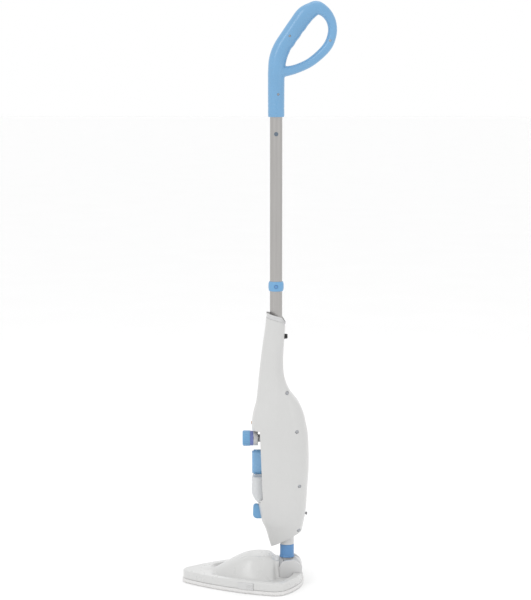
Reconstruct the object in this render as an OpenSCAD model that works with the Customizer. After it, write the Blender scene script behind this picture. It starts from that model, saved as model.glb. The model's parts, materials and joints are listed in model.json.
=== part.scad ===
// Upright steam mop: triangular floor head, two-axis neck, steam unit, two-piece pole, loop handle.
// Millimetres. +Z is up, -Y is the front (tip of the head), +X is one flank of the mop.
// The origin is on the floor, straight under the axis of the neck collar.

/* [Floor head] */
// From the neck axis forward to the tip of the head
head_front = 215; // [200:1:225]
// From the neck axis back to the rear edge of the head
head_back = 33; // [32:1:36]
// Half the width of the head between its rear corners
head_half_w = 118; // [110:1:125]
// Height of the plastic rim above the floor
rim_top = 25; // [24:0.5:28]
// Thickness of the cloth pad
pad_t = 6.5; // [5:0.5:6.5]

/* [Neck] */
// Height of the fore-and-aft tilt axis
tilt_z = 34.5; // [34.5:0.5:35]
// Radius of the drum that turns on the tilt axis
drum_r = 23.5; // [22:0.5:23.5]
// Height of the sideways swivel axis
swivel_z = 40; // [39.5:0.5:40.5]
// Radius of the blue collar at its top
collar_r = 14.3; // [14:0.1:14.6]

/* [Steam unit] */
// Wall thickness of the two shells
shell_wall = 2.4; // [2:0.1:2.8]
// Half the width of the water tank
tank_half_w = 23.5; // [20:0.5:23.5]
// Height of the steam knob's axis
knob_z = 300.5; // [299:0.5:302]
// Radius of the steam knob
knob_r = 16; // [15:0.5:17]

/* [Pole and handle] */
// Outer diameter of the pole
tube_d = 25; // [24:0.5:25]
// Wall thickness of the pole
tube_wall = 1; // [0.8:0.1:1.2]
// Height of the ring where the two lengths of pole meet
ring_z = 615; // [600:1:630]
// Height of the snap button under the handle
button_z = 923.5; // [915:0.5:930]
// Wall thickness of the handle shells
handle_wall = 2.8; // [2.4:0.1:3.2]

/* [Hidden] */
$fn = 48;

// Colours
blue = [0.53, 0.69, 0.86];
deep_blue = [0.42, 0.60, 0.80];
white = [0.87, 0.87, 0.88];
grey_metal = [0.72, 0.72, 0.72];
steel = [0.6, 0.6, 0.62];
brass = [0.80, 0.66, 0.36];
rubber = [0.12, 0.12, 0.13];
clear = [0.88, 0.91, 0.93];

// Shared places, all in the X = 0 plane
pole_y = -23;
tube_r = tube_d / 2;
tube_bore = tube_r - tube_wall;
tilt_y = 7.5;
neck_bottom = 52;
neck_top = 79;
plate_z = pad_t + 1;
cover_z = plate_z + 2;
running_gap = 0.05;
screw_grip_r = 1.6;

// Body sections from the bottom up: height, front, rear, half width
body_rows = [
    [60, -29, 16, 11],
    [74, -33, 20, 17],
    [90, -38, 26, 23],
    [112, -44.5, 31, 31],
    [130, -52.5, 35, 37],
    [158, -58, 39.3, 43],
    [190, -64, 41.2, 47],
    [240, -69, 44.6, 50],
    [285, -71, 44.2, 49],
    [312, -71.5, 42.5, 46.5],
    [330, -73, 39, 44],
    [352, -70.5, 34, 40.5],
    [378, -64, 22.5, 35],
    [402, -61, 4.5, 30],
    [428, -58.5, -5.5, 26.5],
    [460, -55, -8.3, 24.5],
    [500, -49.8, -6.4, 22.8],
    [535, -44.8, -4, 21.8],
    [580, -41, 0, 21]];
body_power = 2.5;

// Tank bay in the front of the steam unit
front_edge_y = -51;
bay_bottom = 170;
bay_top = 282;
bay_wall = 1.6;
bay_back = -19;
bay_gap = 1;
bay_half_w = tank_half_w + bay_gap + bay_wall;
panel_top = 320;

// Handle path in the X = 0 plane: y, z, half thickness in the plane, half width across it
grip_rows = [
    [-23, 960, 15.8, 15.8],
    [-23, 964, 16.6, 16.6],
    [-23, 1024, 16.8, 16.6],
    [-22.4, 1050, 17.2, 16.4],
    [-19.8, 1073, 17.8, 16],
    [-11.8, 1095, 17.8, 15.6],
    [3.3, 1118, 18, 15.4],
    [19.4, 1141, 18.2, 15.2],
    [35, 1161.5, 18, 14.8],
    [55, 1174.8, 14.4, 13.6],
    [72, 1169, 11.6, 12.2],
    [84, 1155, 10, 11],
    [89.4, 1138, 9.3, 10.6],
    [88.4, 1120, 9.3, 10.4],
    [81, 1101, 9.5, 10.4],
    [66, 1083.5, 9.4, 10.4],
    [43, 1065.5, 9.1, 10.6],
    [16, 1053.5, 9.3, 11],
    [-6, 1048.5, 10.4, 11.6],
    [-18, 1047, 11, 12]];
sleeve_bottom = grip_rows[0][1];

// ---- Helpers ----

function unit(v) = v / norm(v);
function spow(v, e) = sign(v) * pow(abs(v), e);
// Catmull-Rom point between b and c
function spline(a, b, c, d, t) =
    0.5 * (2 * b + (c - a) * t + (2 * a - 5 * b + 4 * c - d) * t * t + (3 * b - a - 3 * c + d) * t * t * t);
// Rows with k steps between each pair
function smooth(p, k) = [
    for (i = [0 : len(p) - 2], j = [0 : k - 1])
        spline(p[max(i - 1, 0)], p[i], p[i + 1], p[min(i + 2, len(p) - 1)], j / k),
    p[len(p) - 1]];
// Points on an arc of a circle
function arc(c, r, a0, a1, n) = [
    for (i = [0 : n]) let (a = a0 + (a1 - a0) * i / n) c + r * [cos(a), sin(a)]];
// Centre of the circle that meets circles (p, rp) and (q, rq), on the side left of p to q
function meet(p, rp, q, rq) =
    let (d = norm(q - p), a = (rp * rp - rq * rq + d * d) / (2 * d))
    let (h = sqrt(rp * rp - a * a), u = (q - p) / d)
    p + a * u + h * [-u[1], u[0]];
function angle(v) = atan2(v[1], v[0]);
function rest(p) = [for (i = [1 : len(p) - 1]) p[i]];

// Solid through a list of closed rings of points
module loft(rings) {
    n = len(rings[0]);
    m = len(rings);
    polyhedron(
        points = [for (r = rings) each r],
        faces = concat(
            [[for (i = [0 : n - 1]) i]],
            [[for (i = [0 : n - 1]) (m - 1) * n + n - 1 - i]],
            [for (j = [0 : m - 2], i = [0 : n - 1])
                let (a = j * n + i, b = j * n + (i + 1) % n) [a, a + n, b + n]],
            [for (j = [0 : m - 2], i = [0 : n - 1])
                let (a = j * n + i, b = j * n + (i + 1) % n) [a, b + n, b]]));
}

// The same solid as convex slices, for rings that enclose convex shapes
module loft_slices(rings) {
    for (i = [0 : len(rings) - 2]) {
        hull() loft([rings[i], rings[i + 1]]);
    }
}

// Round hose through hand-placed points, with steps between them
module hose(points, r, sides = 10, steps = 3) {
    path = smooth(points, steps);
    last = len(path) - 1;
    aim = unit([0.3, 1, 0.17]);
    loft([for (i = [0 : last])
        let (t = unit(path[min(i + 1, last)] - path[max(i - 1, 0)]))
        let (a = unit(cross(t, aim)), b = cross(t, a))
        [for (k = [0 : sides - 1]) path[i] + r * (cos(360 * k / sides) * a + sin(360 * k / sides) * b)]]);
}

// Cylinder along Y, starting at y0
module y_rod(r, y0, y1, z, x = 0) {
    translate([x, y0, z]) rotate([-90, 0, 0]) cylinder(h = y1 - y0, r = r);
}

// Cylinder along X, starting at x0
module x_rod(r, x0, x1, y, z) {
    translate([x0, y, z]) rotate([0, 90, 0]) cylinder(h = x1 - x0, r = r);
}

// Block between two corners
module block(a, b) {
    translate(a) cube(b - a);
}

module tube(r_out, r_in, z0, z1) {
    difference() {
        translate([0, 0, z0]) cylinder(h = z1 - z0, r = r_out);
        translate([0, 0, z0 - 1]) cylinder(h = z1 - z0 + 2, r = r_in);
    }
}

// ---- Floor head ----

// Head outline: blunt tip, bulging sides, rounded corners and a bulging rear edge; inset moves it inwards
tip_r = 26;
corner_r = 26;
side_r = 420;
tip_c = [0, -head_front + tip_r];
corner_c = [head_half_w - corner_r, -25];
rear_k = (corner_c[0] * corner_c[0] + corner_c[1] * corner_c[1] - pow(head_back - corner_r, 2))
    / (2 * (head_back - corner_r) - 2 * corner_c[1]);
rear_c = [0, -rear_k];
rear_r = head_back + rear_k;
side_c = meet(tip_c, side_r - tip_r, corner_c, side_r - corner_r);

function half_outline(inset) = concat(
    arc(rear_c, rear_r - inset, 90, angle(corner_c - rear_c), 6),
    rest(arc(corner_c, corner_r - inset, angle(corner_c - rear_c), angle(corner_c - side_c), 8)),
    rest(arc(side_c, side_r - inset, angle(corner_c - side_c), angle(tip_c - side_c), 8)),
    rest(arc(tip_c, tip_r - inset, angle(tip_c - side_c), -90, 6)));
function mirrored(p) = [for (i = [len(p) - 2 : -1 : 1]) [-p[i][0], p[i][1]]];
function outline(inset) = let (h = half_outline(inset)) concat(h, mirrored(h));
// Half width of the head's side at a given y
function side_x(y, inset) = side_c[0] + sqrt(pow(side_r - inset, 2) - pow(y - side_c[1], 2));

module head_slab(z0, z1, inset) {
    translate([0, 0, z0]) linear_extrude(height = z1 - z0) polygon(outline(inset));
}

// Wedge-shaped dome on the head: height, front, rear, half width
dome_rows = [
    [10, -158, -17, 74],
    [19, -153, -17.1, 71],
    [30, -141, -17.3, 64],
    [40, -126, -17.6, 55],
    [49, -109, -18.2, 45],
    [57, -90, -20, 35],
    [62, -73, -31, 24]];
function dome_half_w(s, w) = w * pow(sin(15 + 75 * s), 1.6) * pow(1 - pow(s, 9), 0.25);
function dome_side(y0, y1, w, n) = [
    for (i = [0 : n]) let (s = 0.04 + 0.94 * i / n) [dome_half_w(s, w), y0 + (y1 - y0) * s]];
function dome_ring(row, inset) =
    let (half = dome_side(row[1] + inset, row[2] - inset, row[3] - inset, 11), z = row[0] - inset)
    concat([for (p = half) [p[0], p[1], z]], [for (i = [11 : -1 : 0]) [-half[i][0], half[i][1], z]]);

// Space kept free for the hinge base and the drum
hinge_half_w = 33;
hinge_front = -16.8;
sill_top = 14;

module hinge_space() {
    block([-hinge_half_w, hinge_front, 0], [hinge_half_w, 24, 80]);
    block([-hinge_half_w, 20, sill_top], [hinge_half_w, 60, 80]);
}

// Recess on each side of the dome
module moat() {
    difference() {
        translate([0, 0, rim_top - 11]) linear_extrude(height = 20) polygon(outline(15));
        block([-200, -400, 0], [200, -152, 60]);
        block([-200, 12, 0], [200, 100, 60]);
    }
}

module head_cover() {
    color(white) {
        difference() {
            union() {
                difference() {
                    union() {
                        head_slab(cover_z, rim_top - 2, 0);
                        head_slab(rim_top - 2, rim_top, 1.6);
                    }
                    moat();
                }
                loft_slices([for (r = dome_rows) dome_ring(r, 0)]);
            }
            difference() {
                head_slab(cover_z - 2, rim_top - 13.4, 3);
                block([-hinge_half_w - 3, hinge_front - 3, 0], [hinge_half_w + 3, 60, 80]);
            }
            difference() {
                loft_slices([for (r = dome_rows) dome_ring(r, 2.6)]);
                block([-80, hinge_front - 3, 0], [80, 60, 80]);
            }
            block([-300, -300, -5], [300, 300, cover_z]);
            hinge_space();
        }
    }
}

steam_slot_ys = [-150, -120, -90, -60];

module base_plate() {
    color(white)
    difference() {
        head_slab(plate_z, cover_z, 2);
        for (y = steam_slot_ys) {
            for (x = [-14, 14]) block([x - 5, y - 1.5, 0], [x + 5, y + 1.5, 20]);
        }
        for (p = head_screw_places) translate([p[0], p[1], 0]) cylinder(h = 20, r = screw_grip_r + 0.2);
    }
}

module hook_strips() {
    color([0.8, 0.8, 0.8]) {
        for (x = [-70, 70]) block([x - 12, -60, pad_t + 0.2], [x + 12, -10, plate_z]);
        block([-10, -196, pad_t + 0.2], [10, -164, plate_z]);
    }
}

module pad() {
    color([0.95, 0.95, 0.95]) {
        head_slab(0, 2, 1.2);
        head_slab(2, pad_t, -0.8);
    }
}

module steam_gasket() {
    color(rubber)
    difference() {
        head_slab(cover_z, cover_z + 1.4, 5);
        head_slab(cover_z - 1, cover_z + 3, 8);
        block([-hinge_half_w - 6, -22, 0], [hinge_half_w + 6, 60, 40]);
    }
}

head_screw_places = [[0, -176], [-44, -120], [44, -120], [-84, -30], [84, -30]];

module head_screws() {
    color(steel)
    for (p = head_screw_places) {
        translate([p[0], p[1], plate_z]) cylinder(h = 4, r = screw_grip_r);
    }
}

clip_y = -84;

module pad_clip() {
    x = side_x(clip_y, 0);
    slope = angle([x, clip_y] - side_c);
    translate([x, clip_y, 0]) rotate([0, 0, slope]) {
        block([0.02, -16, 8.5], [2, 16, 22.5]);
        for (z = [11, 15.5, 20]) block([1.5, 1, z - 0.9], [3, 15, z + 0.9]);
    }
}

module pad_clip_left() {
    color(white) pad_clip();
}

module pad_clip_right() {
    color(white) mirror([1, 0, 0]) pad_clip();
}

module steam_inlet() {
    color(brass)
    difference() {
        union() {
            translate([0, -40, cover_z + 0.3]) cylinder(h = 6, r = 9);
            y_rod(4.5, -40, hinge_front - 5.5, cover_z + 8);
            translate([0, -40, cover_z + 6]) cylinder(h = 7, r = 6);
        }
        translate([0, -40, cover_z - 1]) cylinder(h = 12, r = 2.5);
        y_rod(2.5, -40, 0, cover_z + 8);
    }
}

ear_gap = 24.3;
ear_out = 32;
pin_r = 3.5;

// The pins stop short of the outer faces of the cheeks
pin_end = ear_out - 1.5;

// Side view of a hinge cheek: bell-shaped, standing in the cover and on its rear sill
module cheek_view() {
    polygon([[hinge_front + 0.3, cover_z], [hinge_front + 0.3, 36], [-12, 45], [-4, 50.3],
        [10, 51.4], [19, 49], [26.5, 42.5], [30.3, 34], [30.7, 24], [30.2, sill_top + 0.2], [23.8, sill_top + 0.2], [23.8, cover_z]]);
}

module hinge_base() {
    color(white)
    difference() {
        union() {
            for (s = [-1, 1]) {
                rotate([90, 0, 90]) translate([0, 0, min(s * ear_gap, s * ear_out)])
                    linear_extrude(height = ear_out - ear_gap) cheek_view();
            }
            block([-ear_out, hinge_front + 0.3, cover_z], [ear_out, hinge_front + 2.6, cover_z + 5]);
        }
        x_rod(pin_r, -pin_end, pin_end, tilt_y, tilt_z);
    }
}

module tilt_pins() {
    color(steel)
    for (s = [-1, 1]) {
        x_rod(pin_r, min(s * 16, s * pin_end), max(s * 16, s * pin_end), tilt_y, tilt_z);
    }
}

// ---- Neck ----

swing_limit = 30;
pin2_r = 3;
knuckle_r = 9.8;
knuckle_y0 = -8;
knuckle_y1 = 9;
arch_r = 11.6;
yoke_half_w = 24;

// Front view of the yoke: a round top that falls off at the swing limit, with upright flanks
module yoke_front_view() {
    a = 90 - swing_limit;
    side_z = swivel_z + arch_r / sin(a) - yoke_half_w / tan(a);
    polygon(concat(
        [[yoke_half_w, 0], [yoke_half_w, side_z]],
        arc([0, swivel_z], arch_r, a, 180 - a, 10),
        [[-yoke_half_w, side_z], [-yoke_half_w, 0]]));
}

module yoke_side_view() {
    polygon(concat(
        [[-17.2, 44], [-16.4, 52], [17, 52], [28, 43]],
        arc([tilt_y, tilt_z], drum_r, 0, -180, 24)));
}

module yoke() {
    color(white)
    difference() {
        intersection() {
            rotate([90, 0, 90]) translate([0, 0, -60]) linear_extrude(height = 120) yoke_side_view();
            rotate([90, 0, 0]) translate([0, 0, -60]) linear_extrude(height = 120) yoke_front_view();
        }
        y_rod(knuckle_r + 0.5, knuckle_y0 - 0.2, knuckle_y1 + 0.2, swivel_z);
        for (s = [-1, 1]) {
            translate([0, 0, swivel_z]) rotate([0, s * swing_limit, 0])
                block([-knuckle_r + 0.3, knuckle_y0 - 0.3, 0], [knuckle_r - 0.3, knuckle_y1 + 0.3, 60]);
        }
        y_rod(pin2_r, knuckle_y0 - 6, knuckle_y1 + 6, swivel_z);
        x_rod(pin_r + running_gap, -60, -15.5, tilt_y, tilt_z);
        x_rod(pin_r + running_gap, 15.5, 60, tilt_y, tilt_z);
        cylinder(h = 40, r = 4.2);
    }
}

module swivel_pin() {
    color(steel) y_rod(pin2_r, knuckle_y0 - 6, knuckle_y1 + 6, swivel_z);
}

module joint_hose() {
    color(rubber) tube(4, 2.4, 14, swivel_z - knuckle_r - 0.7);
}

module neck_knuckle() {
    color(white)
    difference() {
        union() {
            y_rod(knuckle_r, knuckle_y0, knuckle_y1, swivel_z);
            block([-knuckle_r + 0.8, knuckle_y0, swivel_z], [knuckle_r - 0.8, knuckle_y1, neck_bottom + 2]);
            translate([0, 0, neck_bottom + 0.1]) cylinder(h = neck_top - neck_bottom - 0.2, r = 12.5);
        }
        y_rod(pin2_r + running_gap, knuckle_y0 - 1, knuckle_y1 + 1, swivel_z);
        translate([0, 0, neck_bottom + 5]) cylinder(h = 30, r = 9.4);
        translate([0, 0, swivel_z + 4.5]) cylinder(h = 30, r = 2.6);
    }
}

module neck_collar() {
    color(deep_blue)
    difference() {
        rotate_extrude(convexity = 4)
        polygon(concat(
            [[12.55, neck_bottom + 0.1], [collar_r + 0.6, neck_bottom + 0.1]],
            [[collar_r + 0.9, neck_bottom + 0.5], [collar_r + 0.9, neck_bottom + 2.4]],
            [[collar_r + 0.1, neck_bottom + 3.6], [collar_r, neck_top - 2]],
            [[collar_r - 0.6, neck_top - 0.2], [12.55, neck_top - 0.2]]));
        for (a = [0 : 30 : 330]) {
            rotate([0, 0, a]) translate([collar_r + 1.1, 0, neck_bottom + 7]) cylinder(h = 15, r = 1.3);
        }
    }
}

module collar_seal() {
    color(rubber)
    translate([0, 0, 65]) rotate_extrude(convexity = 4) translate([8, 0]) circle(r = 1.1, $fn = 24);
}

module outlet_spigot() {
    color(brass)
    difference() {
        tube(8.9, 3, 59, 110);
        translate([0, 0, 65]) rotate_extrude(convexity = 4) translate([8, 0]) circle(r = 1.12, $fn = 24);
        translate([0, 0, 63.8]) tube(12, 8, 0, 2.4);
    }
}

module outlet_socket() {
    color(white) {
        tube(collar_r, 9, neck_top, 104);
        tube(19, 9, 104, 108);
    }
}

// ---- Steam unit shells ----

function body_ring(row, inset) =
    let (n = 28, c = (row[1] + row[2]) / 2, a = (row[2] - row[1]) / 2 - inset, b = row[3] - inset)
    [for (i = [0 : n - 1]) let (u = 360 * i / n)
        [b * spow(cos(u), 2 / body_power), c + a * spow(sin(u), 2 / body_power), row[0]]];

module body_solid(inset) {
    loft([for (r = smooth(body_rows, 2)) body_ring(r, inset)]);
}

// Everything under the slanted lower edge of the shells
module below_shells(lift = 0) {
    translate([0, -31, 76 + lift]) rotate([28, 0, 0]) block([-80, -60, -120], [80, 90, 0]);
}

// Everything above a line that falls to the rear at the top of the neck
rim_front_z = 562;
rim_break = [-11, 552];
module above_rim(drop) {
    translate([0, -43.5, rim_front_z - drop]) rotate([-17, 0, 0]) block([-60, -60, 0], [60, 80, 80]);
    translate([0, rim_break[0], rim_break[1] - drop]) rotate([-56, 0, 0])
        block([-60, -60, 0], [60, 80, 80]);
}

// Slot for the release button, and the front bay
module front_cuts() {
    rotate([90, 0, 90]) translate([0, 0, -80]) linear_extrude(height = 160)
        polygon([[-120, bay_bottom], [-62, bay_bottom], [-50, bay_bottom + 8],
            [-56, panel_top], [-120, panel_top]]);
    rotate([90, 0, 0]) translate([0, 0, 30]) linear_extrude(height = 60) button_view(0.45);
}

shell_screw_places = [[19.5, 321], [25, 208.5], [-0.5, 398], [24, 112]];
post_r = 3;
gland_z = 512;
stud_r = 1.6;
stud_z = 143;
lens_r = 3;
lens_z = 333;

module shell_pair() {
    difference() {
        body_solid(0);
        difference() {
            body_solid(shell_wall);
            below_shells(shell_wall);
        }
        below_shells();
        above_rim(10);
        front_cuts();
        block([-bay_half_w - 0.1, front_edge_y - 0.1, bay_bottom - bay_wall - 0.1],
            [bay_half_w + 0.1, bay_back + bay_wall, bay_top + bay_wall + 0.1]);
        block([-bay_half_w - 0.1, -120, bay_bottom - 0.1], [bay_half_w + 0.1, front_edge_y, bay_top]);
        translate([0, 0, 60]) cylinder(h = 45, r = collar_r + 0.2);
        y_rod(6.2, -12, 20, gland_z);
        y_rod(stud_r + 0.1, 20, 60, stud_z);
        y_rod(lens_r + 0.1, -90, -60, lens_z);
    }
}

module half(side) {
    intersection() {
        children();
        if (side > 0) block([0.1, -200, 0], [200, 200, 700]);
        else block([-200, -200, 0], [-0.1, 200, 700]);
    }
}

module left_shell() {
    color(white)
    difference() {
        half(1) shell_pair();
        for (p = shell_screw_places) {
            x_rod(3.6, body_side_x(p) - 9, 90, p[0], p[1]);
            x_rod(post_r + 0.2, 0, body_side_x(p) - 8, p[0], p[1]);
        }
    }
}

module right_shell() {
    color(white) {
        half(-1) shell_pair();
        for (p = shell_screw_places) {
            difference() {
                x_rod(post_r, 1.2 - body_side_x([p[0] + post_r, p[1]]), body_side_x(p) - 8, p[0], p[1]);
                x_rod(screw_grip_r + 0.05, body_side_x(p) - 17, 90, p[0], p[1]);
            }
        }
    }
}

// Half width of the body at a place on its flank
function row_at(z) = let (below = [for (r = smooth(body_rows, 8)) if (r[0] <= z) r]) below[len(below) - 1];
function body_side_x(p) =
    let (r = row_at(p[1]), c = (r[1] + r[2]) / 2, a = (r[2] - r[1]) / 2)
    r[3] * pow(1 - pow(abs(p[0] - c) / a, body_power), 1 / body_power);

module shell_screws() {
    color(steel)
    for (p = shell_screw_places) {
        x = body_side_x(p);
        x_rod(3.2, x - 3.2, x - 1.8, p[0], p[1]);
        x_rod(screw_grip_r, x - 16, x - 3, p[0], p[1]);
    }
}

module front_panel() {
    color(white)
    difference() {
        intersection() {
            block([-60, front_edge_y + 0.2, bay_bottom + 0.2], [60, front_edge_y + 2.4, panel_top + 6]);
            body_solid(shell_wall + 0.3);
        }
        block([-bay_half_w, -100, 0], [bay_half_w, 0, bay_top + bay_wall]);
        y_rod(8, -80, -40, knob_z);
    }
}

module tank_bay() {
    w = tank_half_w + bay_gap;
    color(white)
    difference() {
        block([-bay_half_w, front_edge_y + 0.2, bay_bottom - bay_wall],
            [bay_half_w, bay_back + bay_wall, bay_top + bay_wall]);
        block([-w, front_edge_y - 5, bay_bottom], [w, bay_back, bay_top]);
        y_rod(8.4, -30, 0, tank_port_z);
    }
}

module knob_boss() {
    color(white)
    difference() {
        union() {
            y_rod(15, -68.8, -60, knob_z);
            y_rod(7.8, -60, front_edge_y + 3.6, knob_z);
        }
        y_rod(stem_r + 0.6, -80, -40, knob_z);
    }
}

module top_rim() {
    color(white)
    difference() {
        union() {
            intersection() {
                body_solid(0.6);
                above_rim(9.8);
            }
            intersection() {
                body_solid(-0.2);
                above_rim(3.6);
            }
        }
        above_rim(0);
        translate([0, pole_y, 480]) cylinder(h = 150, r = tube_r + 0.1);
    }
}

module indicator_lens() {
    color([0.75, 0.5, 0.35]) {
        y_rod(lens_r, -74, -65, lens_z);
    }
}

module rear_stud() {
    color([0.5, 0.5, 0.5]) {
        y_rod(3.1, 38.3, 41.5, stud_z);
        y_rod(stud_r, 30, 38.3, stud_z);
    }
}

gland_bore = 3.4;

module cord_gland() {
    color(rubber)
    difference() {
        union() {
            y_rod(6, -9.6, -5.2, gland_z);
            y_rod(5, -5.2, -1.2, gland_z);
            y_rod(4.4, -1.2, 0.6, gland_z);
        }
        y_rod(gland_bore, -12, 4, gland_z);
    }
}

// ---- Inside the steam unit ----

stem_r = 3;
tank_port_z = 200;

module steam_valve() {
    color([0.25, 0.25, 0.27])
    difference() {
        union() {
            block([-10, front_edge_y + 5, knob_z - 10], [10, -36, knob_z + 10]);
            y_rod(7, front_edge_y + 3.8, -44, knob_z);
            for (s = [-1, 1]) y_rod(2.4, -36.5, -30, knob_z - 5, s * 5);
        }
        y_rod(stem_r + running_gap, -60, -41, knob_z);
    }
}

module tank_seat() {
    color(rubber)
    difference() {
        union() {
            y_rod(8.2, -18.8, -13, tank_port_z);
            y_rod(3.4, -13, -6, tank_port_z);
        }
        y_rod(6.3, -22, -15, tank_port_z);
        y_rod(1.6, -16, 0, tank_port_z);
    }
}

module pump() {
    color([0.2, 0.2, 0.22]) {
        block([-17, 0, 214], [17, 32, 246]);
        y_rod(3, -4, 1, 222);
        translate([0, 16, 246]) cylinder(h = 9, r = 9);
    }
    color(steel) {
        block([-19, 4, 218], [-17, 28, 242]);
        block([17, 4, 218], [19, 28, 242]);
    }
}

module boiler() {
    color([0.7, 0.7, 0.72])
    difference() {
        union() {
            translate([0, 5, 122]) cylinder(h = 68, r = 19);
            for (z = [130 : 10 : 180]) translate([0, 5, z]) cylinder(h = 2.5, r = 20.5);
            translate([10, 5, 190]) cylinder(h = 5, r = 4);
            translate([0, 0, 111]) cylinder(h = 11.5, r = 5);
        }
        translate([0, 0, 108]) cylinder(h = 20, r = 2.6);
        translate([10, 5, 184]) cylinder(h = 20, r = 1.6);
    }
}

module thermostat() {
    color([0.15, 0.15, 0.16]) {
        x_rod(8, 20.6, 25, 5, 153);
        x_rod(5, 25, 28, 5, 153);
    }
}

module thermal_fuse() {
    color([0.85, 0.85, 0.82]) translate([-23.2, 5, 140]) cylinder(h = 24, r = 2.4);
}

module control_board() {
    color([0.2, 0.42, 0.25]) block([-20, 26, 260], [20, 27.6, 306]);
    color([0.2, 0.2, 0.2]) {
        block([-14, 14, 284], [4, 26, 300]);
        block([2, 18, 264], [14, 26, 276]);
        block([-13, 19, 300.2], [13, 26, 304.4]);
    }
}

module suction_hose() {
    color([0.9, 0.9, 0.88])
    hose([[0, -6, tank_port_z], [0, -3.4, tank_port_z + 0.6], [0, -2.9, tank_port_z + 4],
        [0, -5.5, tank_port_z + 11], [0, -7.6, tank_port_z + 18], [0, -7, tank_port_z + 21.5],
        [0, -4, tank_port_z + 22]], 2.4);
}

module valve_hose() {
    color([0.9, 0.9, 0.88])
    hose([[0, 16, 255], [-2, 14, 258], [-8, 2, 272], [-10, -14, 288], [-7, -24, knob_z - 5.5],
        [-5, -30, knob_z - 5]], 2.6);
}

module boiler_hose() {
    color([0.9, 0.9, 0.88])
    hose([[5, -30, knob_z - 5], [9, -23, knob_z - 6], [22, -12, 280], [28, 0, 256], [28, 4, 226],
        [19, 5, 204], [10, 5, 195]], 2.6);
}

function lead_route(side) = [
    for (p = [[8, -14, 479], [14, -20, 462], [18, -26, 430], [18, -18, 390], [17, 2, 352], [13, 12, 328],
        [10, 16.5, 314], [9.5, 21.5, 305]])
        [side * p[0], p[1], p[2]]];

module power_leads() {
    color([0.15, 0.2, 0.45])
    hose(lead_route(1), 1.7, 8, 2);
    color([0.5, 0.3, 0.15])
    hose(lead_route(-1), 1.7, 8, 2);
}

// ---- Pole ----

lower_tube_z0 = 482;
joiner_half = 38;
ring_half = 9.8;
tube_joint_z = ring_z - 6;

module tube_clamp() {
    color([0.75, 0.75, 0.76])
    difference() {
        union() {
            translate([0, pole_y, 486]) cylinder(h = 12, r = tube_r + 2.2);
            block([-18.2, pole_y - 4, 488], [18.2, pole_y + 4, 496]);
        }
        translate([0, pole_y, 480]) cylinder(h = 30, r = tube_r + 0.02);
        block([-30, pole_y + 12, 480], [30, 60, 500]);
    }
}

module lower_tube() {
    color(grey_metal)
    translate([0, pole_y, 0]) tube(tube_r, tube_bore, lower_tube_z0, tube_joint_z - 0.1);
}

module tube_joiner() {
    color([0.3, 0.3, 0.32])
    translate([0, pole_y, 0])
    difference() {
        tube(tube_bore - 0.02, tube_bore - 3, ring_z - joiner_half, ring_z + joiner_half);
        x_rod(press_hole_r + 0.1, 0, 20, 0, ring_z);
    }
}

press_hole_r = 3.6;
snap_hole_r = 4.2;

module coupling_ring() {
    bulge_r = 15.7;
    color(blue)
    translate([0, pole_y, ring_z])
    difference() {
        rotate_extrude(convexity = 4)
        polygon(concat(
            [[tube_r + 0.02, -ring_half]],
            arc([tube_r + 0.9, 0], bulge_r - tube_r - 0.9, -62, 62, 10),
            [[tube_r + 0.02, ring_half]]));
        x_rod(press_hole_r + 0.4, tube_r - 2, 30, 0, 0);
    }
}

module upper_tube() {
    color(grey_metal)
    translate([0, pole_y, 0])
    difference() {
        tube(tube_r, tube_bore, tube_joint_z + 0.1, sleeve_bottom + 24);
        x_rod(snap_hole_r + 0.1, 5, 20, 0, button_z);
        x_rod(press_hole_r + 0.4, 5, 20, 0, ring_z);
    }
}

// ---- Handle ----

function handle_ring(p, t, row, inset) =
    let (n = 20, normal = [t[1], -t[0]], a = row[3] - inset, b = row[2] - inset)
    [for (i = [0 : n - 1]) let (u = 360 * i / n)
        [a * cos(u), p[0] + b * sin(u) * normal[0], p[1] + b * sin(u) * normal[1]]];

module handle_sweep(rows, inset) {
    path = smooth(rows, 2);
    last = len(path) - 1;
    loft_slices([for (i = [0 : last])
        let (a = path[max(i - 1, 0)], b = path[min(i + 1, last)], t = unit([b[0] - a[0], b[1] - a[1]]))
        handle_ring([path[i][0], path[i][1]], t, path[i], inset)]);
}

// The grip and the loop arm are swept apart so that neither crosses itself
grip_count = 10;
module handle_solid(inset) {
    handle_sweep([for (i = [0 : grip_count]) grip_rows[i]], inset);
    handle_sweep([for (i = [grip_count - 1 : len(grip_rows) - 1]) grip_rows[i]], inset);
}

// Screws at y, z, and how far out the posts of the last two reach into the shells
handle_screw_places = [[-19, 1003, 0], [4, 1119, 13.6], [84.8, 1110, 9]];
handle_post_places = rest(handle_screw_places);
screw_seat_x = 8.4;

module handle_pair() {
    difference() {
        handle_solid(0);
        difference() {
            handle_solid(handle_wall);
            block([-30, -60, 900], [30, 20, sleeve_bottom + 60]);
        }
        translate([0, pole_y, sleeve_bottom - 5]) cylinder(h = 29.2, r = tube_r + 0.05);
        translate([0, pole_y, sleeve_bottom - 5]) cylinder(h = 60, r = tube_bore);
    }
}

module handle_left() {
    color(blue)
    difference() {
        intersection() {
            handle_pair();
            block([0.1, -100, 900], [60, 200, 1300]);
        }
        for (p = handle_screw_places) x_rod(2.6, screw_seat_x, 40, p[0], p[1]);
        for (p = handle_post_places) x_rod(1.5, 0, 40, p[0], p[1]);
    }
    color(blue)
    for (p = handle_post_places) {
        difference() {
            x_rod(3.9, screw_seat_x - 2.4, p[2], p[0], p[1]);
            x_rod(1.5, 0, 30, p[0], p[1]);
            x_rod(2.6, screw_seat_x, 40, p[0], p[1]);
        }
    }
}

module handle_right() {
    color(blue) {
        intersection() {
            handle_pair();
            block([-60, -100, 900], [-0.1, 200, 1300]);
        }
        for (p = handle_post_places) {
            difference() {
                x_rod(3.6, -p[2], screw_seat_x - 2.6, p[0], p[1]);
                x_rod(1.35, -6, 30, p[0], p[1]);
            }
        }
    }
}

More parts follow.
